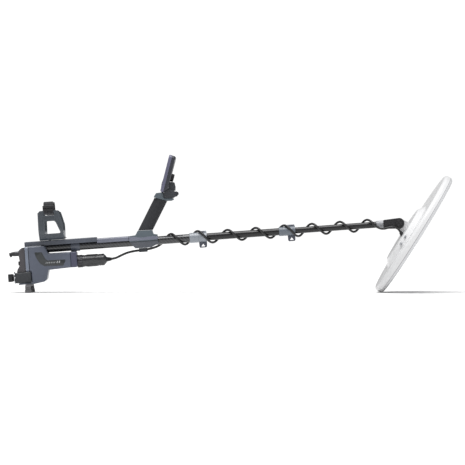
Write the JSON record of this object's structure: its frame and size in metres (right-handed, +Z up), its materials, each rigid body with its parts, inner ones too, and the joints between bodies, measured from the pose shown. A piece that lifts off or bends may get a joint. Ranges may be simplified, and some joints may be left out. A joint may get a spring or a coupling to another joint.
{
  "type": "metal detector",
  "caption": "Hand-held metal detector with a telescopic shaft, arm cuff, control box, display handle and a round search coil hinged in a clevis.",
  "frame": {"origin": "on the ground, under the middle of the object's bounding box", "axes": "+X forward towards the coil, +Y to the side with the lock levers, +Z up"},
  "size_m": [1.1755, 0.33, 0.3637],
  "materials": {
    "box_plastic": "semi-gloss blue-grey ABS",
    "panel_rubber": "matte soft-touch",
    "dark_plastic": "fine texture",
    "black_plastic": "fine texture",
    "rubber": "matte",
    "board": "solder mask",
    "cell": "shrink sleeve",
    "steel": "bright wire",
    "plug_metal": "dark anodised",
    "carbon_tube": "clear-coated carbon weave",
    "ferrule_plastic": "light grey nylon",
    "webbing": "nylon webbing",
    "cable_jacket": "satin jacket",
    "coil_plastic": "white ABS",
    "copper": "enamelled wire",
    "display_glass": "gloss"
  },
  "bodies": {
    "frame": {"control_box_shell": "box_plastic", "front_cap": "box_plastic", "rear_gasket": "rubber", "rear_bezel": "box_plastic", "rear_panel": "panel_rubber", "main_board": "board", "headphone_socket": "dark_plastic", "headphone_cap": "rubber", "coil_plug": "plug_metal", "upper_shaft": "carbon_tube", "shaft_saddle": "box_plastic", "arm_rail": "box_plastic", "rail_cover": "box_plastic", "stand": "dark_plastic", "stand_feet": "rubber", "handle_clamp_upper": "box_plastic", "handle_clamp_lower": "box_plastic", "grip": "rubber", "handle_head": "box_plastic", "knuckle": "dark_plastic", "panel_bezel": "box_plastic", "panel_back": "dark_plastic", "lcd_window": "display_glass", "lcd_module": "black_plastic", "panel_back_box": "dark_plastic", "speaker_cap": "black_plastic", "camlock_1_collar": "box_plastic", "cable_lead": "cable_jacket", "cable_upper_span": "cable_jacket"},
    "plug_ring": {"plug_ring": "plug_metal"},
    "clamp_knob": {"clamp_knob": "dark_plastic"},
    "cuff": {"arm_cuff": "box_plastic", "cuff_screw": "black_plastic", "cuff_strap": "webbing", "strap_buckle": "box_plastic"},
    "battery": {"battery_case": "dark_plastic", "battery_cells": "cell", "battery_lock_ring": "steel"},
    "battery_knob": {"battery_lock_knob": "black_plastic"},
    "power_button": {"power_button": "dark_plastic"},
    "trigger": {"trigger": "rubber"},
    "direction_pad": {"direction_pad": "rubber"},
    "menu_key": {"menu_key": "rubber"},
    "back_key": {"back_key": "rubber"},
    "camlock_1_lever": {"camlock_1_lever": "box_plastic"},
    "middle": {"middle_shaft": "carbon_tube", "camlock_2_collar": "box_plastic", "cable_lower_span": "cable_jacket"},
    "camlock_2_lever": {"camlock_2_lever": "box_plastic"},
    "lower": {"lower_shaft": "carbon_tube", "shaft_ferrule": "ferrule_plastic", "yoke": "black_plastic", "coil_bolt": "black_plastic", "friction_washers": "rubber", "cable_tail": "cable_jacket"},
    "wing_nut": {"wing_nut": "black_plastic"},
    "coil": {"coil_shell": "coil_plastic", "coil_skid_plate": "coil_plastic", "coil_windings": "copper", "cable_gland": "rubber"}
  },
  "joints": [
    {"name": "cuff_slide", "type": "slide", "parent": "frame", "child": "cuff", "axis": [0.9974, 0, 0.0718], "range_m": [-0.03, 0.04]},
    {"name": "battery_slide", "type": "slide", "parent": "frame", "child": "battery", "axis": [-0.9974, 0, -0.0718], "range_m": [0, 0.06]},
    {"name": "battery_knob_turn", "type": "hinge", "parent": "battery", "child": "battery_knob", "pos_m": [-0.57137, 0, 0.03872], "axis": [0.9974, 0, 0.0718], "range_deg": [0, 90]},
    {"name": "power_press", "type": "slide", "parent": "frame", "child": "power_button", "axis": [0.9974, 0, 0.0718], "range_m": [0, 0.0015], "stiffness_N_per_m": 400, "springref_m": -0.0008},
    {"name": "trigger_pull", "type": "slide", "parent": "frame", "child": "trigger", "axis": [-0.9974, 0, -0.0718], "range_m": [0, 0.003], "stiffness_N_per_m": 400, "springref_m": -0.0008},
    {"name": "direction_pad_press", "type": "slide", "parent": "frame", "child": "direction_pad", "axis": [0.97, 0, -0.2433], "range_m": [0, 0.001], "stiffness_N_per_m": 400, "springref_m": -0.0008},
    {"name": "menu_key_press", "type": "slide", "parent": "frame", "child": "menu_key", "axis": [0.97, 0, -0.2433], "range_m": [0, 0.001], "stiffness_N_per_m": 400, "springref_m": -0.0008},
    {"name": "back_key_press", "type": "slide", "parent": "frame", "child": "back_key", "axis": [0.97, 0, -0.2433], "range_m": [0, 0.001], "stiffness_N_per_m": 400, "springref_m": -0.0008},
    {"name": "plug_ring_turn", "type": "hinge", "parent": "frame", "child": "plug_ring", "pos_m": [-0.39809, 0, 0.08278], "axis": [0.9974, 0, 0.0718], "continuous": true},
    {"name": "clamp_knob_turn", "type": "hinge", "parent": "frame", "child": "clamp_knob", "pos_m": [-0.23082, 0, 0.11288], "axis": [-0.0718, 0, 0.9974], "continuous": true},
    {"name": "camlock_1_open", "type": "hinge", "parent": "frame", "child": "camlock_1_lever", "pos_m": [-0.07428, 0.0078, 0.15976], "axis": [0.9974, 0, 0.0718], "range_deg": [0, 110]},
    {"name": "middle_slide", "type": "slide", "parent": "frame", "child": "middle", "axis": [0.9974, 0, 0.0718], "range_m": [-0.09, 0.03], "deforming": ["cable_upper_span"]},
    {"name": "camlock_2_open", "type": "hinge", "parent": "middle", "child": "camlock_2_lever", "pos_m": [0.16011, 0.0078, 0.17664], "axis": [0.9974, 0, 0.0718], "range_deg": [0, 110]},
    {"name": "lower_slide", "type": "slide", "parent": "middle", "child": "lower", "axis": [0.9974, 0, 0.0718], "range_m": [-0.09, 0.03], "deforming": ["cable_lower_span"]},
    {"name": "wing_nut_turn", "type": "hinge", "parent": "lower", "child": "wing_nut", "pos_m": [0.4455, 0, 0.18295], "axis": [0, 1, 0], "continuous": true},
    {"name": "coil_tilt", "type": "hinge", "parent": "lower", "child": "coil", "pos_m": [0.4455, 0, 0.18295], "axis": [0, 1, 0], "range_deg": [-65, 53], "deforming": ["cable_tail"]}
  ]
}
